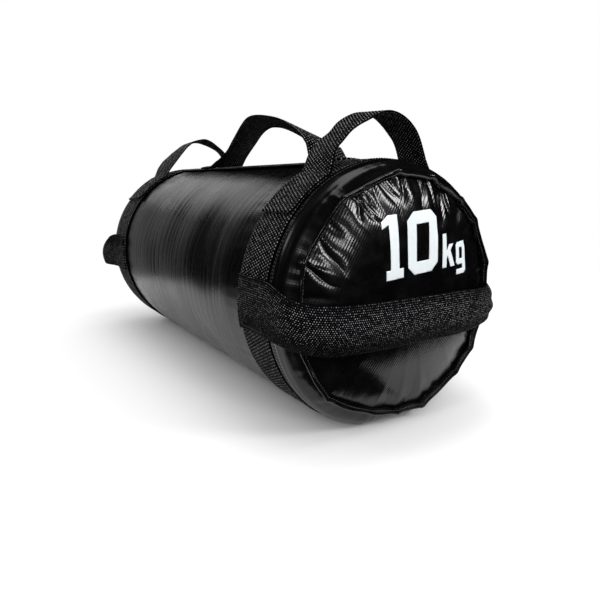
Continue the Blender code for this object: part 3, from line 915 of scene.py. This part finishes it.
def centrePath(edge, y):
    path = smoothPath([(rimEnd + x * tubeRadius, y, z * tubeRadius) for x, z in edge], handles["pathPoints"])
    reach = math.sqrt(footReach ** 2 - y ** 2)
    away = np.linspace(centreHandle["foot"], centreHandle["rootGap"], centreHandle["footRows"])
    return withFeet(path, [pointsAt(path[0, 0] - away, y, reach), pointsAt(path[-1, 0] + away, y, reach)])


def buildCentreHandle():
    near, far = smoothEdges([centrePath(centreHandle[edge], side * webWidth / 2)
                             for edge, side in (("nearSide", -1), ("farSide", 1))])
    piece = strapPiece("handleCentre", far, near, "coarse", bowed(centreHandle["bow"]))
    hangLoop(piece, "centre_handle", ("front", "rear"))


def buildSpine():
    low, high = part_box("spine_strap")
    x = np.linspace(low.x, high.x, rowsOf(high.x - low.x, "coarse"))
    turn = webWidth / 2 / tubeRadius
    edges = [onBag(x, spineReach, side * turn) for side in (1, -1)]
    rise = spineReach * (1 - math.cos(turn))
    piece = strapPiece("spineStrap", *edges, "coarse", bowed(rise), "bag", innerRelief=False)
    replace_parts(piece, "spine_strap")


buildCentreHandle()
buildSpine()
print("centre handle and spine strap made")

# Straps across the ends: a rounded plan from foot to foot, drooping at the front and bowed between
# their edges. The foot lies on the band, so it has the band's own curve. left and right give where
# the plan leaves the straight foot and how square it is.
endStrap = {
    "footInside": 0.0030,
    "chord": 0.865,
    "chordFrom": 0.6,
    "frontBow": 0.0072,
    "ripples": 0.0006,
    "creaseFrom": (0.030, 0.095),
    "early": (-0.001, -0.006),    # where the right leg gives way: from the hinge, and up to the rim
    "folds": 3.0,
    "foldDepth": 0.0007,
    "Front": {"reach": 0.0250, "left": (0.205, 3.7), "right": (0.198, 2.75), "droop": 0.0112,
              "upperLean": 0.0008, "lowerLean": (-0.0050, -0.0030), "creaseDrop": 0.0025,
              "creaseNarrow": 0.08, "earlyShare": 0.75},
    "Rear": {"reach": 0.0320, "left": (0.205, 5.5), "right": (0.200, 3.6), "droop": 0.0045,
             "upperLean": 0.0010, "lowerLean": (0.0100, 0.0100), "creaseDrop": 0.0,
             "creaseNarrow": 0.08, "earlyShare": 0.0},
}


def strapPlan(shape):
    # For each hand a straight foot and half a superellipse, whose two powers add up to one
    turn = np.linspace(0, np.pi / 2, 121)
    halves = []
    for side, (start, square) in ((-1, shape["left"]), (1, shape["right"])):
        foot = np.linspace(bandLow.x + endStrap["footInside"], start, 12)[:-1]
        x = between((start, rimEnd + shape["reach"]), np.sin(turn) ** (2 / square))
        y = side * footReach * np.append(np.ones(len(foot)), np.cos(turn) ** (2 / square))
        halves.append(np.stack([np.append(foot, x), y], axis=-1))
    plan = np.vstack([halves[0], halves[1][-2::-1]])
    return evenly(plan, rowsOf(wayAlong(plan)[-1], "fine")).T


def buildEndStrap(endName, side):
    shape, strap = endStrap[endName], endName.lower() + "_strap"
    hinge = hingeOf(strap)
    root = abs(hinge[0])
    x, y = strapPlan(shape)
    curve = footReach * (1 - math.cos(webWidth / 2 / footReach))
    past = smoothStep(x, root, rimEnd + endStrap["chordFrom"] * shape["reach"])
    hanging = smoothStep(x, root, rimEnd + shape["reach"])
    early = smoothStep(x, root + endStrap["early"][0], rimEnd + endStrap["early"][1])
    rightHand = smoothStep(y, *endStrap["creaseFrom"])
    creased = between((past, early), shape["earlyShare"]) * rightHand
    droop = shape["droop"] * between((hanging, early), shape["earlyShare"] * rightHand)
    droop = droop + shape["creaseDrop"] * creased
    half = webWidth / 2 * (1 - (1 - endStrap["chord"]) * past - shape["creaseNarrow"] * creased)
    along = unit(np.gradient(np.stack([x, y], axis=-1), axis=0))
    edges = []
    for lean, up in ((shape["upperLean"], half), (between(shape["lowerLean"], rightHand), -half)):
        out = between((-curve, lean), past)
        edges.append(pointsAt(side * (x + out * along[:, 1]), y - out * along[:, 0], axisHeight + up - droop))
    length = np.linspace(0, 1, len(x))[:, None]
    waves = endStrap["ripples"] * ripple(0 * length, length, 71, 8, (0, 0), (1.5, 7))
    bow = between((curve, endStrap["frontBow"]), past)[:, None]

    def bend(share):
        # The bow, soft waves along the strap, and folds that run along it where it is pinched narrow
        folds = np.cos(np.pi * endStrap["folds"] * share) * endStrap["foldDepth"] * creased[:, None]
        return bow * (1 - share ** 2) + waves * (0.4 + 0.6 * share) + folds

    piece = strapPiece("endStrap" + endName, *edges[::side], "fine", bend)
    hangLoop(piece, strap, ("left", "right"))


for endName, (side, seed) in ends.items():
    buildEndStrap(endName, side)
print("end straps made")

# The weight, as plain block numerals on the front end panel. Each shape is a closed outline in
# units of the tube's radius, (right, up) from the marking's own corner. Neighbours share whole edges.
weightMark = {
    "corner": (-0.275, 0.168),
    "slope": math.radians(5.0),
    "upright": 0.35,    # how much of the slope the numerals' uprights follow
    "one": [
        [(0.045, 0.0), (0.205, 0.0), (0.205, 0.070), (0.165, 0.070), (0.085, 0.070), (0.045, 0.070)],
        [(0.085, 0.070), (0.165, 0.070), (0.165, 0.450), (0.085, 0.450), (0.085, 0.385)],
        [(0.020, 0.360), (0.085, 0.385), (0.085, 0.450), (0.020, 0.410)],
    ],
    "zero": [
        [(0.250, 0.060), (0.335, 0.090), (0.335, 0.360), (0.250, 0.390)],
        [(0.455, 0.090), (0.540, 0.060), (0.540, 0.390), (0.455, 0.360)],
        [(0.250, 0.060), (0.310, 0.0), (0.480, 0.0), (0.540, 0.060), (0.455, 0.090), (0.335, 0.090)],
        [(0.335, 0.360), (0.455, 0.360), (0.540, 0.390), (0.480, 0.450), (0.310, 0.450), (0.250, 0.390)],
    ],
    "unit": [
        [(0.590, 0.0), (0.632, 0.0), (0.632, 0.070), (0.632, 0.125), (0.632, 0.255), (0.590, 0.255)],
        [(0.632, 0.070), (0.645, 0.08625), (0.675, 0.12375), (0.712, 0.170), (0.662, 0.170), (0.632, 0.125)],
        [(0.645, 0.08625), (0.675, 0.12375), (0.722, 0.0), (0.675, 0.0)],
        [(0.740, 0.020), (0.760, 0.0), (0.780, 0.042), (0.780, 0.128), (0.760, 0.170), (0.740, 0.150)],
        [(0.760, 0.0), (0.822, 0.0), (0.822, 0.042), (0.780, 0.042)],
        [(0.760, 0.170), (0.780, 0.128), (0.822, 0.128), (0.822, 0.170)],
        [(0.822, -0.035), (0.862, -0.035), (0.862, 0.170), (0.822, 0.170), (0.822, 0.128), (0.822, 0.042),
         (0.822, 0.0)],
        [(0.745, -0.075), (0.842, -0.075), (0.862, -0.055), (0.862, -0.035), (0.822, -0.035), (0.745, -0.035)],
    ],
    "inFront": 0.05,
    "cut": 0.0014,
    "cutsFrom": (-0.375, 0.04),    # right and up, in radii
    "cuts": (84, 56),
    "lift": 0.00018,
    "paint": 0.00012,
}


def flatNumerals():
    # The outlines as faces in front of the panel, welded and cut into a fine grid
    shapes = bmesh.new()
    rise, run = math.sin(weightMark["slope"]), math.cos(weightMark["slope"])
    for outline in weightMark["one"] + weightMark["zero"] + weightMark["unit"]:
        corners = []
        for right, up in outline:
            y = weightMark["corner"][0] + right * run - up * rise * weightMark["upright"]
            z = weightMark["corner"][1] + right * rise + up * run
            place = (rimEnd + weightMark["inFront"], y * tubeRadius, axisHeight + z * tubeRadius)
            corners.append(shapes.verts.new(place))
        shapes.faces.new(corners)
    bmesh.ops.remove_doubles(shapes, verts=shapes.verts[:], dist=0.00002)
    rightFrom, upFrom = weightMark["cutsFrom"]
    starts = (rightFrom * tubeRadius, axisHeight + upFrom * tubeRadius)
    for axis, start, count in zip((1, 2), starts, weightMark["cuts"]):
        for index in range(count):
            place, normal = [0.0, 0.0, 0.0], [0.0, 0.0, 0.0]
            place[axis] = start + index * weightMark["cut"]
            normal[axis] = 1.0
            bmesh.ops.bisect_plane(shapes, geom=shapes.verts[:] + shapes.edges[:] + shapes.faces[:],
                                   dist=0.00001, plane_co=place, plane_no=normal)
    bmesh.ops.recalc_face_normals(shapes, faces=shapes.faces[:])
    if sum(face.normal.x for face in shapes.faces) < 0:
        bmesh.ops.reverse_faces(shapes, faces=shapes.faces[:])
    flat = bpy.data.meshes.new("weightFlat")
    shapes.to_mesh(flat)
    shapes.free()
    return flat


def buildWeightMark(target):
    # The flat numerals are laid on the panel along X and given the paint's thickness
    holder = newObject("weightFlat", flatNumerals())
    wrap = holder.modifiers.new("lay", "SHRINKWRAP")
    wrap.target = target
    wrap.wrap_method = "PROJECT"
    wrap.use_project_x = True
    wrap.use_positive_direction = False
    wrap.use_negative_direction = True
    wrap.offset = weightMark["lift"]
    skin = holder.modifiers.new("paint", "SOLIDIFY")
    skin.thickness = weightMark["paint"]
    skin.offset = 1.0
    finished = bpy.data.meshes.new_from_object(holder.evaluated_get(bpy.context.evaluated_depsgraph_get()))
    bpy.data.objects.remove(holder)
    finished.name = "weightMark"
    finished.materials.clear()
    finished.materials.append(marking)
    finished.shade_smooth()
    addPiece("weightMark", finished, "bag")


bpy.context.view_layer.update()
buildWeightMark(bpy.data.objects["endPanelFront"])
print("weight marking made")

# Thread: every stitch is a short capsule that lies on its cloth
stitch = {
    "pitch": 0.0028,
    "length": 0.0020,
    "radius": 0.00031,
    "proud": 0.0001,
    "footInset": 0.0042,
    "edgeInset": 0.0028,
    "endInset": 0.0020,
    "lapRows": (0.0031, 0.0052),    # the collar's two rows, from the band's edge
}


def stitchShape():
    # A capsule along x: five sides, three rings and two tips, sunk a little at its ends
    sides = range(5)
    points = [(-0.62, 0, -1.0)]
    for along, wide, rise in ((-0.5, 0.6, -0.35), (0.0, 1.0, 0.25), (0.5, 0.6, -0.35)):
        turns = [2 * math.pi * k / 5 for k in sides]
        points += [(along, wide * math.cos(turn), wide * math.sin(turn) * 0.8 + rise) for turn in turns]
    points += [(0.62, 0, -1.0)]
    triangles = [(0, 1 + (k + 1) % 5, 1 + k) for k in sides]
    for ring in (1, 6):
        for k in sides:
            first, second = ring + k, ring + (k + 1) % 5
            triangles += [(first, second, second + 5), (first, second + 5, first + 5)]
    triangles += [(16, 11 + k, 11 + (k + 1) % 5) for k in sides]
    return np.array(points) * (stitch["length"], stitch["radius"], stitch["radius"]), np.array(triangles)


def stitchRows(name, rows, finish=webbingThread):
    # rows: (points, normals) in even steps along a seam. One capsule lies along each step.
    shape, triangles = stitchShape()
    middle = np.concatenate([(points[1:] + points[:-1]) / 2 for points, normals in rows])
    along = unit(np.concatenate([points[1:] - points[:-1] for points, normals in rows]))
    up = unit(np.concatenate([normals[1:] + normals[:-1] for points, normals in rows]))
    axes = np.stack([along, unit(np.cross(up, along)), up], axis=1)
    verts = middle[:, None, :] + shape @ axes
    verts[..., 2] = np.maximum(verts[..., 2], 0.0)
    faces = (triangles[None] + np.arange(len(middle))[:, None, None] * len(shape)).reshape(-1)
    meshPiece(name, verts.reshape(-1, 3), faces, np.full(len(faces) // 3, 3), finish)


def seamLine(x, reach, angle):
    # Points on the bag, and the way out of it at each
    x, reach, angle = np.broadcast_arrays(x, reach, angle)
    return onBag(x, reach, angle), pointsAt(0.0, np.sin(angle), np.cos(angle))


def seamRound(x, reach):
    # A seam round the bag at one x, in even steps of the stitch
    count = int(round(2 * np.pi * reach / stitch["pitch"])) + 1
    return seamLine(x, reach, np.linspace(-np.pi, np.pi, count))


def seamAlong(low, high, reach, angle):
    # A seam along the bag at one angle, where reach is a function of x
    x = np.linspace(low + stitch["endInset"], high - stitch["endInset"], int((high - low) / stitch["pitch"]))
    return seamLine(x, reach(x), angle)


def seamOver(corners, reach):
    # A seam over the bag between corners (angle, x), in even steps, at one radius
    rows = []
    for (angleA, xA), (angleB, xB) in zip(corners, corners[1:]):
        length = math.hypot((angleB - angleA) * reach, xB - xA)
        share = np.linspace(0, 1, max(int(round(length / stitch["pitch"])), 1) + 1)
        rows.append(seamLine(between((xA, xB), share), reach, between((angleA, angleB), share)))
    return rows


def boxSeam(angles, xs):
    # A box with a cross in it, through a foot
    (angleA, angleB), (xA, xB) = angles, xs
    box = [(angleA, xA), (angleB, xA), (angleB, xB), (angleA, xB), (angleA, xA), (angleB, xB)]
    return seamOver(box, footReach + webTop) + seamOver([(angleA, xB), (angleB, xA)], footReach + webTop)


def stitchEnd(endName, side, seed):
    # The band's two edges, the collar's lap and both faces of the rim
    edges = (bandLow.x + stitch["edgeInset"], bandHigh.x - stitch["edgeInset"])
    stitchRows("bandStitches" + endName, [seamRound(side * x, bandReach + webTop) for x in edges])
    lapTop = tubeRadius + collar["lapRise"] + stitch["proud"]
    laps = [seamRound(side * (bandHigh.x + row), lapTop) for row in stitch["lapRows"]]
    stitchRows("collarStitches" + endName, laps, clothThread)
    angle = np.linspace(-np.pi, np.pi, int(2 * np.pi * rimRadius / stitch["pitch"]))
    x, reach, lean, wide, thick = rimLine(angle, seed)
    ahead, inward = np.sin(lean), -np.cos(lean)
    rows = []
    for face in (1, -1):    # the face towards the end panel and the one towards the collar
        over = face * (rim["halfThickness"] * thick + stitch["proud"])
        seam = onBag(side * (x + over * ahead), reach + over * inward, angle)
        rows.append((seam, face * pointsAt(side * ahead, inward * np.sin(angle), inward * np.cos(angle))))
    stitchRows("rimStitches" + endName, rows, clothThread)


def footSpan(foot, inset):
    # The angles that a handle's foot covers, drawn in by an inset
    low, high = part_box(foot)
    inner, outer = sorted((abs(low.y), abs(high.y)))
    side = -1 if high.y < 0 else 1
    return (side * (math.asin(inner / footReach) + inset),
            side * (math.asin(outer / footReach) + handles["footMore"] - inset))


def stitchFeet():
    # The boxes on the feet of the handles, the end straps and the centre handle
    inset = stitch["footInset"]
    insetTurn = inset / (footReach + webTop)
    halfTurn = math.asin(webWidth / 2 / footReach) - insetTurn
    for endName, (side, seed) in ends.items():
        xs = (side * (bandLow.x + inset), side * (bandHigh.x - inset))
        rows = []
        for hand in ("left", "right"):
            rows += boxSeam(footSpan(endName.lower() + "_handle_foot_" + hand, insetTurn), xs)
        stitchRows("handleFootStitches" + endName, rows)
        xs = (side * (bandLow.x + endStrap["footInside"] + inset), xs[1])
        rows = []
        for middle in (-np.pi / 2, np.pi / 2):
            rows += boxSeam((middle - halfTurn, middle + halfTurn), xs)
        stitchRows("strapFootStitches" + endName, rows)
    rows = []
    for end in ("front", "rear"):
        low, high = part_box("centre_handle_foot_" + end)
        rows += boxSeam((-halfTurn, halfTurn), (low.x + inset, high.x - inset))
    stitchRows("centreFootStitches", rows)


def stitchTop():
    # The two edges of the seam strip and of the spine strap
    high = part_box("tube_seam_strip")[1]
    rows = []
    for side in (-1, 1):
        angle = tube["seamAngle"] + side * (tube["seamWidth"] / 2 - stitch["edgeInset"]) / tubeRadius
        rise = tube["seamThickness"] + 2 * stitch["proud"]
        rows.append(seamAlong(-high.x, high.x, lambda x: tubeReach(x, angle) + rise, angle))
    stitchRows("seamStripStitches", rows, clothThread)
    low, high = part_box("spine_strap")
    rows = []
    for side in (-1, 1):
        angle = math.asin(side * (webWidth / 2 - stitch["edgeInset"]) / tubeRadius)
        rows.append(seamAlong(low.x, high.x, lambda x: spineReach + webTop, angle))
    stitchRows("spineStitches", rows)


for endName, (side, seed) in ends.items():
    stitchEnd(endName, side, seed)
stitchFeet()
stitchTop()
print("stitches made")

# What lies inside keeps its CAD solid and gets a finish of its own
innerFinishes = {
    "foam": makeInner("closedCellFoam", (0.40, 0.41, 0.43, 1.0), (0.60, 0.61, 0.63, 1.0), 700.0, 0.9, 0.0006),
    "liner": makeInner("linerCloth", (0.50, 0.48, 0.42, 1.0), (0.70, 0.68, 0.61, 1.0), 900.0, 0.8, 0.0004),
    "closure": makeInner("hookAndLoop", (0.01, 0.01, 0.01, 1.0), (0.06, 0.06, 0.06, 1.0), 1500.0, 0.95, 0.0010),
    "fill": makeInner("shreddedCloth", (0.12, 0.12, 0.14, 1.0), (0.48, 0.46, 0.46, 1.0), 130.0, 1.0, 0.0030),
    "pouch": makeInner("cottonDuck", (0.34, 0.27, 0.18, 1.0), (0.56, 0.48, 0.35, 1.0), 500.0, 0.9, 0.0008),
}
innerNodes = {
    "foam_sleeve": "foam", "foam_disc_front": "foam", "foam_disc_rear": "foam",
    "liner_sack": "liner", "liner_closure": "closure", "textile_fill": "fill",
    "sand_pouch_front": "pouch", "sand_pouch_rear": "pouch",
}
for node, finish in innerNodes.items():
    mesh = frame["nodes"][node].data
    mesh.materials.clear()
    mesh.materials.append(innerFinishes[finish])


# Floor, light and camera
studio = {
    "floorSize": 14.0,
    "floorDrop": 0.0002,
    "floorColour": (0.90, 0.90, 0.90, 1.0),
    "floorBounce": (0.30, 0.30, 0.30, 1.0),    # as dark as a grey floor where it lights the bag from below
    "whiteFrom": (0.50, 1.00),    # the floor fades to white between these distances
    "dome": (0.25, 1.18),
    "cards": [    # rear x, front x, reach to either side, height
        (-0.44, 0.345, 0.335, 0.0), (-0.44, 0.345, 0.335, 0.135), (-1.9, 1.9, 1.9, 0.16),
        (-1.9, 1.9, 1.9, 3.2), (-0.25, 0.25, 0.25, 3.2)],
    "cardSquare": 5,
    # a dark sheet flat on the floor in front, standing in for shade there, seen only in the gloss
    "floorShadeCard": (0.262, 0.52, -0.34, 0.015, 0.0012),    # rear x, front x, its two sides' y, height
    "cardColour": (0.006, 0.006, 0.006, 1.0),
    "lamps": [    # name, place, what it aims at, size, watts
        ("farPanel", (-1.35, 0.02, 0.80), (0.0, 0.0, 0.2), (0.60, 0.60), 1.25),
        ("rearLow", (-0.425, -0.165, 0.150), (0.0, -0.10, 0.150), (0.15, 0.30), 0.044),
        ("frontBox", (1.05, 0.55, 0.75), (0.25, 0.0, 0.12), (0.34, 0.22), 4.6),
        ("sideBox", (1.25, -0.02, 0.36), (0.25, 0.0, 0.12), (0.12, 0.30), 2.1),
        ("nearBox", (0.95, -0.75, 0.50), (0.24, -0.05, 0.12), (0.16, 0.24), 2.0),
        ("leftBox", (-0.75, -1.15, 1.00), (0.0, 0.0, 0.12), (0.50, 0.40), 1.9),
        ("topBox", (0.10, 0.05, 1.35), (0.05, 0.0, 0.15), (1.10, 0.60), 4.0),
    ],
    "cameraPlace": (0.5668, -0.2992, 0.2007),
    "cameraTurn": (90 - 12.10, 0.0, 57.98),
    "lens": 32.71,
}


def seenWhite(tree, ray, amount=None):
    # 1 for the camera's own rays and for those of gloss and glass, times an amount
    seen = mathStep(tree, "MAXIMUM", ray["Is Camera Ray"], ray["Is Glossy Ray"])
    seen = mathStep(tree, "MAXIMUM", seen, ray["Is Transmission Ray"])
    return seen if amount is None else mathStep(tree, "MULTIPLY", seen, amount)


def mixInto(tree, output, share, lit, white):
    mix = addNode(tree, "MixShader", {"Fac": share, 1: lit.outputs[0], 2: white.outputs[0]})
    setInputs(tree, tree.nodes[output], {"Surface": mix.outputs["Shader"]})


def buildFloor():
    # It lights the bag from below as a grey floor does, and fades to white away from it
    half = studio["floorSize"] / 2
    mesh = bpy.data.meshes.new("floor")
    mesh.from_pydata([(-half, -half, 0), (half, -half, 0), (half, half, 0), (-half, half, 0)], [], [(0, 1, 2, 3)])
    material, tree = newMaterial("paleFloor")
    ray = addNode(tree, "LightPath").outputs
    distance = addNode(tree, "VectorMath", {0: objectPlace(tree)}, operation="LENGTH").outputs["Value"]
    away = rangeStep(tree, distance, studio["whiteFrom"], (0.0, 1.0))
    shaded(material, {
        "Base Color": blendColours(tree, ray["Is Diffuse Ray"], studio["floorColour"], studio["floorBounce"]),
        "Roughness": 0.9,
        "Specular IOR Level": 0.0,
    })
    mixInto(tree, "Material Output", seenWhite(tree, ray, away), tree.nodes["Principled BSDF"],
            addNode(tree, "Emission"))
    mesh.materials.append(material)
    floor = newObject("floor", mesh)
    floor.location.z = -studio["floorDrop"]


def buildWorld():
    # White where the camera or a gloss looks, and a soft dome that is brightest overhead as the light
    world = bpy.data.worlds.new("studio")
    world.use_nodes = True
    tree = world.node_tree
    height = axesOf(tree, addNode(tree, "TexCoord").outputs["Generated"])["Z"]
    dome, white = tree.nodes["Background"], addNode(tree, "Background", {"Color": (1, 1, 1, 1)})
    setInputs(tree, dome, {"Strength": rangeStep(tree, height, (0.0, 0.9), studio["dome"]), "Color": (1, 1, 1, 1)})
    mixInto(tree, "World Output", seenWhite(tree, addNode(tree, "LightPath").outputs), dome, white)
    world.cycles.sampling_method = "NONE"    # so that a gloss sees the cards, never the dome behind them
    bpy.context.scene.world = world


def buildDarkCards():
    # Black cards round the bag, seen only in its gloss: a low lip on the floor, a shelf and a tall wall. A card
    # flat on the floor in front is a dark sheet that stands in for shade on the floor, seen only in the gloss.
    # Their plan is a superellipse: the two powers of the distances add up to one.
    turn = np.linspace(0, 2 * np.pi, 96, endpoint=False)
    plan = [np.sign(part) * np.abs(part) ** (2 / studio["cardSquare"]) for part in (np.cos(turn), np.sin(turn))]
    rings = [pointsAt(plan[0] * (front - rear) / 2 + (front + rear) / 2, plan[1] * reach, z)
             for rear, front, reach, z in studio["cards"]]
    count = len(turn)
    row, column = np.meshgrid(np.arange(len(rings) - 1), np.arange(count), indexing="ij")
    low, after = row * count, (column + 1) % count
    quads = np.stack([low + column, low + after, low + count + after, low + count + column], axis=-1)
    # the flat card: a dark sheet standing in for shade on the floor in front of the bag
    rear, front, right, left, z = studio["floorShadeCard"]
    points = np.vstack(rings + [[(rear, right, z), (front, right, z), (front, left, z), (rear, left, z)]])
    floorShadeCard = [len(points) - 4 + index for index in range(4)]
    mesh = bpy.data.meshes.new("darkCards")
    mesh.from_pydata(points.tolist(), [], quads.reshape(-1, 4).tolist() + [floorShadeCard])
    material = newMaterial("blackCard")[0]
    shaded(material, {"Base Color": studio["cardColour"], "Roughness": 1.0, "Specular IOR Level": 0.0})
    mesh.materials.append(material)
    cards = newObject("darkCards", mesh)
    cards.visible_camera = cards.visible_diffuse = cards.visible_shadow = cards.visible_transmission = False


def addLamp(name, place, aim, size, power):
    lamp = bpy.data.lights.new(name, "AREA")
    lamp.shape = "RECTANGLE"
    lamp.size, lamp.size_y = size
    lamp.energy = power
    holder = newObject(name, lamp)
    holder.location = place
    holder.visible_camera = False
    holder.visible_diffuse = name != "rearLow"    # it stands close to the bag and shows only in its gloss
    direction = np.array(aim) - np.array(place)
    holder.rotation_euler = (math.pi - math.acos(direction[2] / np.linalg.norm(direction)), 0,
                             math.atan2(direction[1], direction[0]) - math.pi / 2)


def buildCamera():
    data = bpy.data.cameras.new("camera")
    data.lens = studio["lens"]
    data.sensor_width = 36
    data.clip_start = 0.01
    camera = newObject("camera", data)
    camera.location = studio["cameraPlace"]
    camera.rotation_euler = [math.radians(turn) for turn in studio["cameraTurn"]]
    bpy.context.scene.camera = camera


buildFloor()
buildWorld()
buildDarkCards()
for lamp in studio["lamps"]:
    addLamp(*lamp)
buildCamera()
bpy.context.scene.view_settings.view_transform = "Standard"
print("studio made")

bpy.context.view_layer.update()
